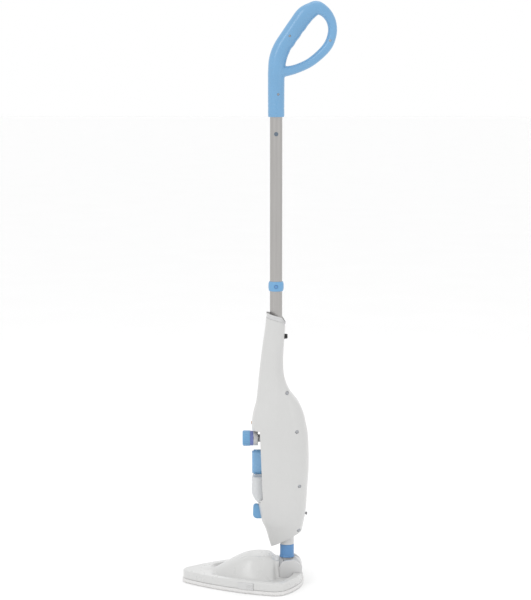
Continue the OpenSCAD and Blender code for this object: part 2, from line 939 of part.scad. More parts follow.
module handle_screws() {
    color(steel)
    for (p = handle_screw_places) {
        x_rod(2.4, screw_seat_x + 0.1, screw_seat_x + 1.7, p[0], p[1]);
        x_rod(1.3, -5, screw_seat_x + 0.3, p[0], p[1]);
    }
}

module handle_stem() {
    color([0.85, 0.85, 0.86])
    translate([0, pole_y, 0])
    difference() {
        tube(tube_bore - 0.03, tube_bore - 2.4, button_z - 20, sleeve_bottom + 54);
        x_rod(snap_hole_r + 0.1, 5, 20, 0, button_z);
        x_rod(3.4, -2, 20, 4, 1003);
    }
}

// Leaf springs behind the two snap buttons
module snap_springs() {
    color(steel)
    for (z = [ring_z, button_z]) {
        translate([0, pole_y, z]) {
            block([-6.6, -2.5, -14], [-6, 2.5, 14]);
            block([-6.6, -2.5, 13.4], [2, 2.5, 14]);
            block([1.4, -2.5, -8], [2, 2.5, 14]);
        }
    }
}

press_travel = 2;

module snap_button(r, x0, x1, z) {
    translate([0, pole_y, z]) {
        x_rod(r, x0, x1 - 1, 0, 0);
        translate([x1 - 1, 0, 0]) rotate([0, 90, 0]) cylinder(h = 1, r1 = r, r2 = r - 1);
    }
}

module coupling_button() {
    color(deep_blue) snap_button(press_hole_r, 4.6, 17.2, ring_z);
}

module handle_button() {
    color([0.35, 0.42, 0.50]) snap_button(snap_hole_r, 4.6, 15, button_z);
}

// ---- Knob, tank, latch and release button ----

module steam_knob() {
    color(blue)
    difference() {
        union() {
            y_rod(knob_r, -90, -76, knob_z);
            y_rod(knob_r - 1.5, -91.6, -90, knob_z);
        }
        for (a = [0 : 18 : 342]) {
            rotate_about_knob(a) y_rod(1.1, -100, -77.5, knob_z + knob_r + 0.4);
        }
        y_rod(stem_r, -80, -70, knob_z);
        block([-0.8, -95, knob_z + 4], [0.8, -91, knob_z + 14]);
    }
}

module rotate_about_knob(a) {
    translate([0, 0, knob_z]) rotate([0, a, 0]) translate([0, 0, -knob_z]) children();
}

module knob_skirt() {
    color([0.40, 0.47, 0.72])
    difference() {
        y_rod(knob_r - 0.8, -76, -69.2, knob_z);
        y_rod(stem_r, -80, -60, knob_z);
    }
}

module valve_stem() {
    color(brass) y_rod(stem_r, -80, -41.5, knob_z);
}

tank_front = -73;
tank_back = -20.2;
latch_bottom = 225;
latch_top = 277;
latch_front = -72;
latch_back = -52;
tank_step_y = -48.8;
tank_wall = 1.8;

// Side view of the tank: full height behind, low nose in front with a slanted chin
module tank_side_view(inset) {
    polygon([
        [tank_step_y + inset, latch_top - 1 - inset],
        [tank_step_y + inset, latch_bottom - 2 - inset],
        [tank_front + 2.5 + inset, latch_bottom - 2 - inset],
        [tank_front + inset, latch_bottom - 8],
        [tank_front + inset, 190],
        [tank_front + 6 + inset, 178],
        [-60, bay_bottom + 1.4 + inset],
        [tank_back - inset, bay_bottom + 1.4 + inset],
        [tank_back - inset, latch_top - 1 - inset]]);
}

// Plan view of the tank: rounded front corners
module tank_plan(inset) {
    r = 13 - inset;
    w = tank_half_w - inset;
    polygon(concat(
        [[w, tank_back - inset + 1], [-w, tank_back - inset + 1]],
        arc([-w + r, tank_front + inset + r], r, 180, 270, 6),
        arc([w - r, tank_front + inset + r], r, 270, 360, 6)));
}

module tank_solid(inset) {
    intersection() {
        rotate([90, 0, 90]) translate([0, 0, -60]) linear_extrude(height = 120) tank_side_view(inset);
        translate([0, 0, 100]) linear_extrude(height = 250) tank_plan(inset);
    }
}

cap_y = -35;
cap_r = 10;

module water_tank() {
    color(clear)
    difference() {
        tank_solid(0);
        tank_solid(tank_wall);
        translate([0, cap_y, 260]) cylinder(h = 40, r = cap_r - 2);
        y_rod(4, -40, 0, tank_port_z);
    }
}

module tank_cap() {
    color(blue) {
        translate([0, cap_y, latch_top - 1]) cylinder(h = 4, r = cap_r);
        translate([0, cap_y, latch_top - 8]) cylinder(h = 7, r = cap_r - 2.1);
    }
}

module tank_valve() {
    color([0.9, 0.9, 0.9]) {
        y_rod(3.9, -26, -20.2, tank_port_z);
        y_rod(6, -20.2, -15.4, tank_port_z);
    }
}

// Oval thumb latch, hollow behind, that pushes in against the tank
module tank_latch() {
    r = 11;
    color(blue)
    difference() {
        rotate([90, 0, 0]) translate([0, 0, -latch_back])
            linear_extrude(height = latch_back - latch_front - 3)
            latch_view(r);
        block([-7, latch_back - 12, latch_bottom + 6], [7, latch_back + 1, latch_top - 6]);
    }
    color(blue)
    rotate([90, 0, 0]) translate([0, 0, -latch_front - 3]) linear_extrude(height = 3) latch_view(r - 2.5);
}

module latch_view(r) {
    polygon(concat(
        arc([0, latch_top - 11], r, 0, 180, 12),
        arc([0, latch_bottom + 11], r, 180, 360, 12)));
}

// Teardrop outline of the release button, seen from the front
module button_view(grow) {
    big = [0, 140];
    small = [0, 158];
    a = asin(3 / 18);
    polygon(concat(
        arc(small, 6 + grow, a, 180 - a, 8),
        arc(big, 9 + grow, 180 - a, 360 + a, 14)));
}

// Side view of the release button: a leaning pebble with a guide behind it
module pebble_view() {
    polygon(concat(
        arc([-63.5, 157], 6.4, 20, 175, 8),
        arc([-60.2, 143], 10.2, 183, 285, 8),
        [[-44, 133.2], [-44, 159.2]]));
}

module release_button() {
    color(blue)
    intersection() {
        rotate([90, 0, 0]) translate([0, 0, 44]) linear_extrude(height = 30) button_view(0);
        rotate([90, 0, 90]) translate([0, 0, -30]) linear_extrude(height = 60) pebble_view();
    }
}

pad();
base_plate();
hook_strips();
steam_gasket();
head_cover();
hinge_base();
tilt_pins();
steam_inlet();
head_screws();
pad_clip_left();
pad_clip_right();
yoke();
swivel_pin();
joint_hose();
neck_knuckle();
neck_collar();
collar_seal();
outlet_socket();
outlet_spigot();
left_shell();
right_shell();
front_panel();
tank_bay();
knob_boss();
top_rim();
shell_screws();
indicator_lens();
rear_stud();
cord_gland();
steam_valve();
tank_seat();
pump();
boiler();
thermostat();
thermal_fuse();
control_board();
suction_hose();
valve_hose();
boiler_hose();
power_leads();
tube_clamp();
lower_tube();
tube_joiner();
coupling_ring();
upper_tube();
handle_stem();
handle_left();
handle_right();
handle_screws();
snap_springs();
steam_knob();
knob_skirt();
valve_stem();
water_tank();
tank_cap();
tank_valve();
tank_latch();
release_button();
coupling_button();
handle_button();
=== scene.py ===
"""Visual model of the steam mop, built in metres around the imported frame."""

import json
import math

import bmesh
import bpy
import numpy as np
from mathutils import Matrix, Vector


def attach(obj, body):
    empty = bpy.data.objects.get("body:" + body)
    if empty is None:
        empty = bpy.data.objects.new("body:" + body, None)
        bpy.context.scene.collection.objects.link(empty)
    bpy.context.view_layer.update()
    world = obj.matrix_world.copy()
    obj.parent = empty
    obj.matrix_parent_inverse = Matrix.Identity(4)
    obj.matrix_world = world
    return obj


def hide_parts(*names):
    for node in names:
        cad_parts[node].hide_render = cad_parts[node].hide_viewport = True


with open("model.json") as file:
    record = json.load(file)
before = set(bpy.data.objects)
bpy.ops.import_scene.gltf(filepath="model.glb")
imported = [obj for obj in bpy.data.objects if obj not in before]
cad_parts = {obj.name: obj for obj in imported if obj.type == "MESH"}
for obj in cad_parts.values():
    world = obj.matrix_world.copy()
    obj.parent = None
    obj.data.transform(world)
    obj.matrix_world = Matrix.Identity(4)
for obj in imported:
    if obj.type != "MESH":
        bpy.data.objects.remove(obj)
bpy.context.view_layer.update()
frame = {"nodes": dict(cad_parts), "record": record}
MM = 0.001


# ---------------------------------------------------------------- numbers

def smoothstep(v, a, b):
    t = np.clip((np.asarray(v, dtype=float) - a) / (b - a), 0, 1)
    return t * t * (3 - 2 * t)


def spline_rows(rows, steps):
    """Catmull-Rom rows with that many steps between each pair."""
    p = np.array(rows, dtype=float)
    out = []
    for i in range(len(p) - 1):
        a, b, c, d = p[max(i - 1, 0)], p[i], p[i + 1], p[min(i + 2, len(p) - 1)]
        for j in range(steps):
            t = j / steps
            out.append(0.5 * (2 * b + (c - a) * t + (2 * a - 5 * b + 4 * c - d) * t * t
                              + (3 * b - a - 3 * c + d) * t ** 3))
    out.append(p[-1])
    return np.array(out)


def curve_through(rows, steps=8):
    """Smooth lookup through rows of (place, value)."""
    p = spline_rows(rows, steps)
    return lambda v: np.interp(v, p[:, 0], p[:, 1])


# ---------------------------------------------------------------- meshes

def piece_from(name, verts, faces):
    mesh = bpy.data.meshes.new(name)
    mesh.from_pydata([tuple(v) for v in verts], [], [tuple(f) for f in faces])
    mesh.update()
    piece = bpy.data.objects.new(name, mesh)
    bpy.context.scene.collection.objects.link(piece)
    return piece


def lofted(name, rings):
    """Closed solid through equal rings of points in millimetres."""
    rings = np.array(rings) * MM
    m, n = rings.shape[:2]
    verts = rings.reshape(-1, 3)
    faces = [(j * n + i, j * n + (i + 1) % n, (j + 1) * n + (i + 1) % n, (j + 1) * n + i)
             for j in range(m - 1) for i in range(n)]
    verts = np.vstack([verts, rings[0].mean(axis=0), rings[-1].mean(axis=0)])
    low, high = m * n, m * n + 1
    faces += [(low, (i + 1) % n, i) for i in range(n)]
    last = (m - 1) * n
    faces += [(high, last + i, last + (i + 1) % n) for i in range(n)]
    piece = piece_from(name, verts, faces)
    outward(piece)
    return piece


def outward(piece):
    bm = bmesh.new()
    bm.from_mesh(piece.data)
    bmesh.ops.recalc_face_normals(bm, faces=bm.faces)
    bm.to_mesh(piece.data)
    bm.free()


def box_mm(low, high, name="cutter"):
    (a, b, c), (d, e, f) = low, high
    verts = [(x, y, z) for x in (a, d) for y in (b, e) for z in (c, f)]
    faces = [(0, 1, 3, 2), (4, 6, 7, 5), (0, 4, 5, 1), (2, 3, 7, 6), (0, 2, 6, 4), (1, 5, 7, 3)]
    piece = piece_from(name, np.array(verts) * MM, faces)
    outward(piece)
    return piece


def rod_mm(axis, radius, start, end, place, name="cutter", sides=64):
    """Cylinder along axis 0, 1 or 2 between start and end, through place on the other two axes."""
    others = [k for k in range(3) if k != axis]
    rings = []
    for along in (start, end):
        ring = np.zeros((sides, 3))
        turn = np.linspace(0, 2 * math.pi, sides, endpoint=False)
        ring[:, axis] = along
        ring[:, others[0]] = place[0] + radius * np.cos(turn)
        ring[:, others[1]] = place[1] + radius * np.sin(turn)
        rings.append(ring)
    return lofted(name, rings)


def prism_mm(outline, axis, start, end, name="cutter"):
    """Outline of points on the other two axes, drawn out along axis."""
    others = [k for k in range(3) if k != axis]
    rings = []
    for along in (start, end):
        ring = np.zeros((len(outline), 3))
        ring[:, axis] = along
        ring[:, others[0]] = [p[0] for p in outline]
        ring[:, others[1]] = [p[1] for p in outline]
        rings.append(ring)
    return lofted(name, rings)


def settle(piece):
    """Applies all modifiers."""
    bpy.context.view_layer.update()
    graph = bpy.context.evaluated_depsgraph_get()
    mesh = bpy.data.meshes.new_from_object(piece.evaluated_get(graph))
    piece.modifiers.clear()
    piece.data = mesh


def cut(piece, cutters, operation="DIFFERENCE"):
    for cutter in cutters:
        modifier = piece.modifiers.new("cut", "BOOLEAN")
        modifier.operation = operation
        modifier.solver = "EXACT"
        modifier.object = cutter
    settle(piece)
    for cutter in cutters:
        bpy.data.objects.remove(cutter)


def keep_side(piece, side, gap):
    """Cuts a closed solid at X = gap on one side, keeps that side and closes it."""
    bm = bmesh.new()
    bm.from_mesh(piece.data)
    everything = bm.verts[:] + bm.edges[:] + bm.faces[:]
    line = bmesh.ops.bisect_plane(bm, geom=everything, dist=1e-7, plane_co=(side * gap * MM, 0, 0),
                                  plane_no=(side, 0, 0), clear_inner=True)["geom_cut"]
    edges = [e for e in line if isinstance(e, bmesh.types.BMEdge)]
    bmesh.ops.triangle_fill(bm, use_beauty=True, use_dissolve=False, edges=edges)
    bmesh.ops.recalc_face_normals(bm, faces=bm.faces)
    bm.to_mesh(piece.data)
    bm.free()


def shade(piece, degrees=35):
    mesh = piece.data
    mesh.polygons.foreach_set("use_smooth", [True] * len(mesh.polygons))
    mesh.set_sharp_from_angle(angle=math.radians(degrees))


def bevelled(piece, width, segments=2, degrees=32):
    modifier = piece.modifiers.new("bevel", "BEVEL")
    modifier.width = width * MM
    modifier.segments = segments
    modifier.limit_method = "ANGLE"
    modifier.angle_limit = math.radians(degrees)
    modifier.use_clamp_overlap = True
    settle(piece)


def remeshed(piece, voxel, smoothing=6, factor=0.5):
    """Even mesh with softened edges and inner corners."""
    modifier = piece.modifiers.new("remesh", "REMESH")
    modifier.mode = "VOXEL"
    modifier.voxel_size = voxel * MM
    if smoothing:
        smooth = piece.modifiers.new("smooth", "SMOOTH")
        smooth.factor = factor
        smooth.iterations = smoothing
    settle(piece)


def softened(node, voxel=0.5, smoothing=3):
    """A copy of a CAD node with moulded, rounded edges that stands for it."""
    source = frame["nodes"][node]
    piece = bpy.data.objects.new(node + "_moulded", source.data.copy())
    bpy.context.scene.collection.objects.link(piece)
    bm = bmesh.new()
    bm.from_mesh(piece.data)
    bmesh.ops.remove_doubles(bm, verts=bm.verts, dist=1e-6)
    bm.to_mesh(piece.data)
    bm.free()
    remeshed(piece, voxel, smoothing)
    shade(piece, 60)
    stands_for(piece, node)
    return piece


node_body = {n: b for b, ns in frame["record"]["behaviour"]["bodies"].items() for n in ns}
node_slot = {s["node"]: s["material_slot"] for s in frame["record"]["subparts"]}


def stands_for(piece, *nodes):
    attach(piece, node_body[nodes[0]])
    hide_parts(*nodes)


def dress(piece, material):
    piece.data.materials.clear()
    piece.data.materials.append(material)


# ---------------------------------------------------------------- materials

def new_material(name):
    material = bpy.data.materials.new(name)
    material.use_nodes = True
    nodes, links = material.node_tree.nodes, material.node_tree.links
    shader = next(n for n in nodes if n.type == "BSDF_PRINCIPLED")
    place = nodes.new("ShaderNodeTexCoord")
    return material, nodes, links, shader, place.outputs["Object"]


def noise_node(nodes, links, place, scale, detail=3, stretch=None, rough=0.5):
    if stretch:
        mapping = nodes.new("ShaderNodeMapping")
        mapping.inputs["Scale"].default_value = stretch
        links.new(place, mapping.inputs["Vector"])
        place = mapping.outputs["Vector"]
    texture = nodes.new("ShaderNodeTexNoise")
    texture.inputs["Scale"].default_value = scale
    texture.inputs["Detail"].default_value = detail
    texture.inputs["Roughness"].default_value = rough
    links.new(place, texture.inputs["Vector"])
    return texture.outputs["Fac"]


def ramp_between(nodes, links, value, low, high, start=0.3, end=0.7):
    ramp = nodes.new("ShaderNodeValToRGB")
    ramp.color_ramp.elements[0].position = start
    ramp.color_ramp.elements[0].color = (*low, 1)
    ramp.color_ramp.elements[1].position = end
    ramp.color_ramp.elements[1].color = (*high, 1)
    links.new(value, ramp.inputs["Fac"])
    return ramp.outputs["Color"]


def map_range(nodes, links, value, low, high, start=0.3, end=0.7):
    node = nodes.new("ShaderNodeMapRange")
    node.inputs["From Min"].default_value = start
    node.inputs["From Max"].default_value = end
    node.inputs["To Min"].default_value = low
    node.inputs["To Max"].default_value = high
    links.new(value, node.inputs["Value"])
    return node.outputs["Result"]


def bump_node(nodes, links, height, shader, strength, distance, after=None):
    bump = nodes.new("ShaderNodeBump")
    bump.inputs["Strength"].default_value = strength
    bump.inputs["Distance"].default_value = distance
    links.new(height, bump.inputs["Height"])
    if after is not None:
        links.new(after, bump.inputs["Normal"])
    links.new(bump.outputs["Normal"], shader.inputs["Normal"])
    return bump.outputs["Normal"]


def linear(rgb):
    return tuple(((c / 255 + 0.055) / 1.055) ** 2.4 if c > 10 else c / 255 / 12.92 for c in rgb)


def plastic(name, rgb, rough=(0.28, 0.4), grain=700, depth=0.00003, spread=0.035, coat=0.0, painted_seam_shade=False):
    """Moulded plastic: soft mottling, fine texture, rubbed patches, and, if asked, a dark line at X = 0
    painted as the shade in the part line.
    """
    material, nodes, links, shader, place = new_material(name)
    tone = np.array(linear(rgb))
    broad = noise_node(nodes, links, place, 14, 4)
    low, high = tone * (1 - spread), np.minimum(tone * (1 + spread), 1)
    colour = ramp_between(nodes, links, broad, tuple(low), tuple(high))
    # Painted shade: a dark line at X = 0, 0.45 of the tone, for the shadowed gap of the part line.
    if painted_seam_shade:
        split = nodes.new("ShaderNodeSeparateXYZ")
        links.new(place, split.inputs["Vector"])
        size = nodes.new("ShaderNodeMath")
        size.operation = "ABSOLUTE"
        links.new(split.outputs["X"], size.inputs[0])
        line = map_range(nodes, links, size.outputs["Value"], 1, 0, 0.0001, 0.0005)
        mix = nodes.new("ShaderNodeMix")
        mix.data_type = "RGBA"
        links.new(line, mix.inputs["Factor"])
        links.new(colour, mix.inputs["A"])
        mix.inputs["B"].default_value = (*(tone * 0.45), 1)
        colour = mix.outputs["Result"]
    links.new(colour, shader.inputs["Base Color"])
    smudge = noise_node(nodes, links, place, 60, 5, rough=0.6)
    links.new(map_range(nodes, links, smudge, *rough), shader.inputs["Roughness"])
    fine = noise_node(nodes, links, place, grain, 2)
    bump_node(nodes, links, fine, shader, 0.35, depth)
    shader.inputs["IOR"].default_value = 1.5
    if coat:
        shader.inputs["Coat Weight"].default_value = coat
        shader.inputs["Coat Roughness"].default_value = 0.12
    return material


def metal(name, rgb, rough=(0.3, 0.42), stretch=(900, 900, 9), spread=0.05, depth=0.00001):
    """Metal with drawn or brushed streaks along the stretched axis."""
    material, nodes, links, shader, place = new_material(name)
    tone = np.array(linear(rgb))
    streak = noise_node(nodes, links, place, 1, 4, stretch=stretch)
    links.new(ramp_between(nodes, links, streak, tuple(tone * (1 - spread)), tuple(tone * (1 + spread))),
              shader.inputs["Base Color"])
    links.new(map_range(nodes, links, streak, *rough), shader.inputs["Roughness"])
    bump_node(nodes, links, streak, shader, 0.3, depth)
    shader.inputs["Metallic"].default_value = 1.0
    return material


def cloth(name, rgb):
    """Looped microfibre: short tufts in rows, broken up by finer fibre."""
    material, nodes, links, shader, place = new_material(name)
    tone = np.array(linear(rgb))
    tufts = nodes.new("ShaderNodeTexVoronoi")
    tufts.inputs["Scale"].default_value = 420
    links.new(place, tufts.inputs["Vector"])
    fibre = noise_node(nodes, links, place, 2200, 4, rough=0.7)
    soil = noise_node(nodes, links, place, 25, 4)
    # Painted shade: the valleys between tufts are darkened to 0.86 of the tone.
    tuft_valley_shade = nodes.new("ShaderNodeMix")
    tuft_valley_shade.data_type = "RGBA"
    links.new(map_range(nodes, links, tufts.outputs["Distance"], 0, 1, 0.2, 0.8),
              tuft_valley_shade.inputs["Factor"])
    links.new(ramp_between(nodes, links, soil, tuple(tone * 0.95), tuple(tone)), tuft_valley_shade.inputs["A"])
    tuft_valley_shade.inputs["B"].default_value = (*(tone * 0.86), 1)
    links.new(tuft_valley_shade.outputs["Result"], shader.inputs["Base Color"])
    links.new(map_range(nodes, links, fibre, 0.8, 0.98), shader.inputs["Roughness"])
    first = bump_node(nodes, links, tufts.outputs["Distance"], shader, 0.6, -0.0004)
    bump_node(nodes, links, fibre, shader, 0.5, 0.0002, after=first)
    shader.inputs["Sheen Weight"].default_value = 0.35
    shader.inputs["Sheen Roughness"].default_value = 0.5
    return material


def clear_plastic(name, rgb, rough=(0.05, 0.14), transmission=0.9):
    material, nodes, links, shader, place = new_material(name)
    tone = np.array(linear(rgb))
    broad = noise_node(nodes, links, place, 30, 3)
    links.new(ramp_between(nodes, links, broad, tuple(tone * 0.98), tuple(tone)),
              shader.inputs["Base Color"])
    haze = noise_node(nodes, links, place, 120, 4)
    links.new(map_range(nodes, links, haze, *rough), shader.inputs["Roughness"])
    bump_node(nodes, links, broad, shader, 0.05, 0.00002)
    shader.inputs["Transmission Weight"].default_value = transmission
    shader.inputs["IOR"].default_value = 1.45
    return material


def rubber_like(name, rgb, rough=(0.5, 0.7)):
    return plastic(name, rgb, rough, grain=1400, depth=0.00006, spread=0.08)


looks = {
    "white_plastic": plastic("moulded_white", (202, 202, 202), (0.3, 0.36), coat=0.25, depth=0.00001,
                             spread=0.015),
    "blue_plastic": plastic("moulded_blue", (108, 160, 202), (0.27, 0.36), coat=0.2, spread=0.04),
    "deep_blue_plastic": plastic("moulded_deep_blue", (92, 140, 190), (0.32, 0.42), spread=0.05),
    "slate_plastic": plastic("moulded_slate", (96, 110, 124), (0.4, 0.5), spread=0.06),
    "dark_plastic": plastic("moulded_black", (44, 44, 47), (0.45, 0.6), spread=0.1),
    # grey_plastic also dresses the tank bay and front panel. There the darker grey is partly painted shade
    # for the slot behind the tank and the knob.
    "grey_plastic": plastic("grey_and_painted_bay_shade", (140, 140, 143), (0.4, 0.5), spread=0.06),
    "tube_metal": metal("satin_tube", (176, 174, 172)),
    "clear_plastic": clear_plastic("clear_tank", (226, 228, 230), (0.26, 0.34), 0.22),
    "pad_cloth": cloth("microfibre", (228, 227, 226)),
    "hook_tape": plastic("hook_tape_nylon", (205, 205, 203), (0.7, 0.85), grain=900, depth=0.0004),
    "steel": metal("zinc_plated", (170, 172, 176), (0.25, 0.4), stretch=(300, 300, 300)),
    "brass": metal("turned_brass", (198, 164, 92), (0.2, 0.34), stretch=(30, 900, 900)),
    "cast_aluminium": metal("cast_metal", (170, 170, 174), (0.45, 0.62), stretch=(250, 250, 250),
                            depth=0.0002),
    "black_rubber": rubber_like("moulded_rubber", (24, 24, 26)),
    "hose_silicone": rubber_like("milky_silicone", (226, 226, 220), (0.35, 0.5)),
    "lead_wire": rubber_like("lead_sleeve", (52, 62, 104), (0.4, 0.5)),
    "ceramic_white": plastic("fuse_sleeve", (226, 226, 220), (0.5, 0.65)),
    "lamp_amber": clear_plastic("amber_lens", (214, 168, 128), (0.15, 0.3), 0.35),
}
white_painted_seam_shade = plastic("moulded_white_shell", (203, 203, 202), (0.3, 0.36), coat=0.25, painted_seam_shade=True,
                       depth=0.00001, spread=0.015)
blue_painted_seam_shade = plastic("moulded_blue_handle", (112, 162, 202), (0.25, 0.34), coat=0.3, spread=0.04,
                      painted_seam_shade=True)
head_white = plastic("moulded_white_head", (206, 206, 205), (0.26, 0.32), coat=0.35, depth=0.00001,
                     spread=0.015)
latch_blue = plastic("latch_blue", (124, 172, 212), (0.22, 0.3), coat=0.4, spread=0.02, depth=0.00001)
# Painted shade: the knob's skirt gets a darker violet copy of the blue, standing in for the shadow under
# the knob.
painted_shade_skirt_blue = plastic("painted_shade_knob_skirt", (112, 126, 184), (0.35, 0.45), spread=0.05)

for node, slot in node_slot.items():
    dress(frame["nodes"][node], looks[slot])

# ---------------------------------------------------------------- camera, floor and light

CAMERA_PLACE = (3.8, -0.0445, 1.05)
CAMERA_PITCH = 6.955
camera_data = bpy.data.cameras.new("camera")
camera_data.sensor_fit = "VERTICAL"
camera_data.sensor_height = 36
camera_data.lens = 112.74
camera_data.clip_end = 100
camera = bpy.data.objects.new("camera", camera_data)
camera.location = CAMERA_PLACE
camera.rotation_euler = (math.radians(90 - CAMERA_PITCH), 0, math.radians(90))
bpy.context.scene.collection.objects.link(camera)
bpy.context.scene.camera = camera

floor = piece_from("floor", [(-40, -40, 0), (40, -40, 0), (40, 40, 0), (-40, 40, 0)], [(0, 1, 2, 3)])
floor_look, nodes, links, shader, place = new_material("pale_floor")
links.new(ramp_between(nodes, links, noise_node(nodes, links, place, 3, 3),
                       (0.98, 0.98, 0.98), (0.99, 0.99, 0.99)),
          shader.inputs["Base Color"])
shader.inputs["Roughness"].default_value = 0.7
shader.inputs["Specular IOR Level"].default_value = 0.15
dress(floor, floor_look)

world = bpy.data.worlds.new("studio")
bpy.context.scene.world = world
world.use_nodes = True
background = world.node_tree.nodes["Background"]
background.inputs["Color"].default_value = (1, 1, 1, 1)
background.inputs["Strength"].default_value = 1.0


def area_light(name, place, target, size, power):
    data = bpy.data.lights.new(name, "AREA")
    data.shape = "RECTANGLE"
    data.size, data.size_y = size
    data.energy = power
    light = bpy.data.objects.new(name, data)
    light.location = place
    light.rotation_euler = (Vector(target) - Vector(place)).to_track_quat("-Z", "Y").to_euler()
    bpy.context.scene.collection.objects.link(light)


area_light("key", (2.4, -1.8, 2.6), (0, 0, 0.5), (0.7, 2.0), 14)
area_light("fill", (2.0, 2.4, 1.6), (0, 0, 0.6), (1.6, 1.8), 3)
area_light("top", (-0.3, 0, 3.2), (0, 0, 0.4), (1.6, 1.6), 6)
area_light("back", (-2.6, 0.6, 1.8), (0, 0, 0.6), (2.0, 2.0), 4)
bpy.context.scene.view_settings.view_transform = "Standard"

# ---------------------------------------------------------------- handle

GRIP_ROWS = [  # y, z, half thickness, half width
    (-23, 960, 15.8, 15.8), (-23, 963, 16.6, 16.4), (-23, 1024, 16.8, 16.6), (-22.4, 1050, 17.2, 16.4),
    (-19.8, 1073, 17.8, 16), (-11.8, 1095, 17.8, 15.6), (3.3, 1118, 18, 15.4), (19.4, 1141, 18.2, 15.2),
    (35, 1161.5, 18, 14.8), (55, 1174.8, 14.4, 13.6)]
ARM_ROWS = [
    (35, 1161.5, 14, 13), (55, 1174.8, 14.4, 13.6), (72, 1169, 11.6, 12.2), (84, 1155, 10, 11),
    (89.4, 1138, 9.3, 10.6), (88.4, 1120, 9.3, 10.4), (81, 1101, 9.5, 10.4), (66, 1083.5, 9.4, 10.4),
    (43, 1065.5, 9.1, 10.6), (16, 1053.5, 9.3, 11), (-6, 1048.5, 10.4, 11.6), (-18, 1047, 11, 12)]
POLE_Y = -23
GRIP_WAVE = 20
GRIP_WAVE_DEPTH = 0.9
SCREW_SEAT = 8.4
SHEET_OUT = 60


def swept(name, rows, sides=48, waves=False):
    path = spline_rows(rows, 10)
    rings = []
    travelled = 0
    for i, (y, z, thick, wide) in enumerate(path):
        before, after = path[max(i - 1, 0)], path[min(i + 1, len(path) - 1)]
        way = after[:2] - before[:2]
        way = way / np.linalg.norm(way)
        if i:
            travelled += np.linalg.norm(path[i][:2] - path[i - 1][:2])
        turn = np.linspace(0, 2 * math.pi, sides, endpoint=False)
        inner = np.clip(np.sin(turn), 0, 1) ** 2
        ripple = 0.0
        if waves:
            reach = smoothstep(z, 1088, 1098) * (1 - smoothstep(z, 1146, 1156))
            ripple = -GRIP_WAVE_DEPTH * reach * (0.5 - 0.5 * math.cos(2 * math.pi * travelled / GRIP_WAVE))
        depth = thick + ripple * inner
        rings.append(np.stack([wide * np.cos(turn), y + depth * np.sin(turn) * way[1],
                               z - depth * np.sin(turn) * way[0]], axis=1))
    return lofted(name, rings)


def make_handle():
    handle = swept("loop_handle", GRIP_ROWS, waves=True)
    cut(handle, [swept("arm", ARM_ROWS)], "UNION")
    remeshed(handle, 1.0, 12, 0.5)
    bottom = GRIP_ROWS[0][1]
    cutters = [rod_mm(2, 12.55, bottom - 5, bottom + 24.2, (0, POLE_Y), sides=96),
               rod_mm(2, 11.5, bottom + 20, bottom + 54.5, (0, POLE_Y), sides=96)]
    for y, z in ((-19, 1003), (4, 1119), (84.8, 1110)):
        cutters.append(rod_mm(0, 2.6, SCREW_SEAT, SHEET_OUT, (y, z)))
        cutters.append(rod_mm(0, 1.35, -6, SCREW_SEAT + 1, (y, z)))
    cut(handle, cutters)
    for z in (975.5, 985):  # the two faint bands round the foot of the sleeve
        groove_sleeve(handle, z)
    shade(handle, 42)
    stands_for(handle, "handle_left", "handle_right")
    dress(handle, blue_painted_seam_shade)


def groove_sleeve(piece, z, width=1.2, depth=0.35):
    """Presses a shallow ring into the sleeve."""
    mesh = piece.data
    count = len(mesh.vertices)
    at = np.empty(count * 3)
    mesh.vertices.foreach_get("co", at)
    at = at.reshape(-1, 3)
    out = at[:, :2] - (0, POLE_Y * MM)
    radius = np.linalg.norm(out, axis=1)
    near = np.exp(-((at[:, 2] / MM - z) / width) ** 2) * (radius > 14 * MM)
    at[:, :2] -= out / np.maximum(radius, 1e-9)[:, None] * (near * depth * MM)[:, None]
    mesh.vertices.foreach_set("co", at.ravel())
    mesh.update()


make_handle()

# ---------------------------------------------------------------- pole ring and snap buttons

RING_Z = 615


def make_ring():
    """Turned ring that hides the joint of the two tubes."""
    outline = [(12.52, -9.8), (13.5, -9.9), (14.5, -8.9), (15.3, -6.2), (15.7, -3), (15.75, 0), (15.7, 3),
               (15.3, 6.2), (14.5, 8.9), (13.5, 9.9), (12.52, 9.8)]
    profile = spline_rows(outline, 4)
    sides = 96
    turn = np.linspace(0, 2 * math.pi, sides, endpoint=False)
    verts = [(r * math.cos(t), POLE_Y + r * math.sin(t), RING_Z + h) for r, h in profile for t in turn]
    n = len(profile)
    faces = [(j * sides + i, j * sides + (i + 1) % sides, ((j + 1) % n) * sides + (i + 1) % sides,
              ((j + 1) % n) * sides + i) for j in range(n) for i in range(sides)]
    ring = piece_from("pole_ring", np.array(verts) * MM, faces)
    outward(ring)
    cut(ring, [rod_mm(0, 4.0, 10, 30, (POLE_Y, RING_Z))])
    shade(ring, 40)
    stands_for(ring, "coupling_ring")
    dress(ring, looks["blue_plastic"])


make_ring()

# ---------------------------------------------------------------- steam unit shells

BODY_ROWS = [  # height, front, rear, half width
    (60, -29, 16, 11), (74, -33, 20, 17), (90, -38, 26, 23), (112, -44.5, 31, 31), (130, -52.5, 35, 37),
    (158, -58, 39.3, 43), (190, -64, 41.2, 47), (240, -69, 44.6, 50), (285, -71, 44.2, 49),
    (312, -71.5, 42.5, 46.5), (330, -73, 39, 44), (352, -70.5, 34, 40.5), (378, -64, 22.5, 35),
    (402, -61, 4.5, 30), (428, -58.5, -5.5, 26.5), (460, -55, -8.3, 24.5), (500, -49.8, -6.4, 22.8),
    (535, -44.8, -4, 21.8), (580, -41, 0, 21)]
BODY_POWER = 2.5
SHELL_WALL = 2.4
PANEL_TOP = 320
BAY_BOTTOM = 170
FRONT_EDGE = -51
BAY_HALF_W = 26.2
BAY_BACK, BAY_TOP, BAY_WALL = -19, 282, 1.6
BAY_GAP = 0.1
PART_LINE = 0.12  # half the gap between the shells
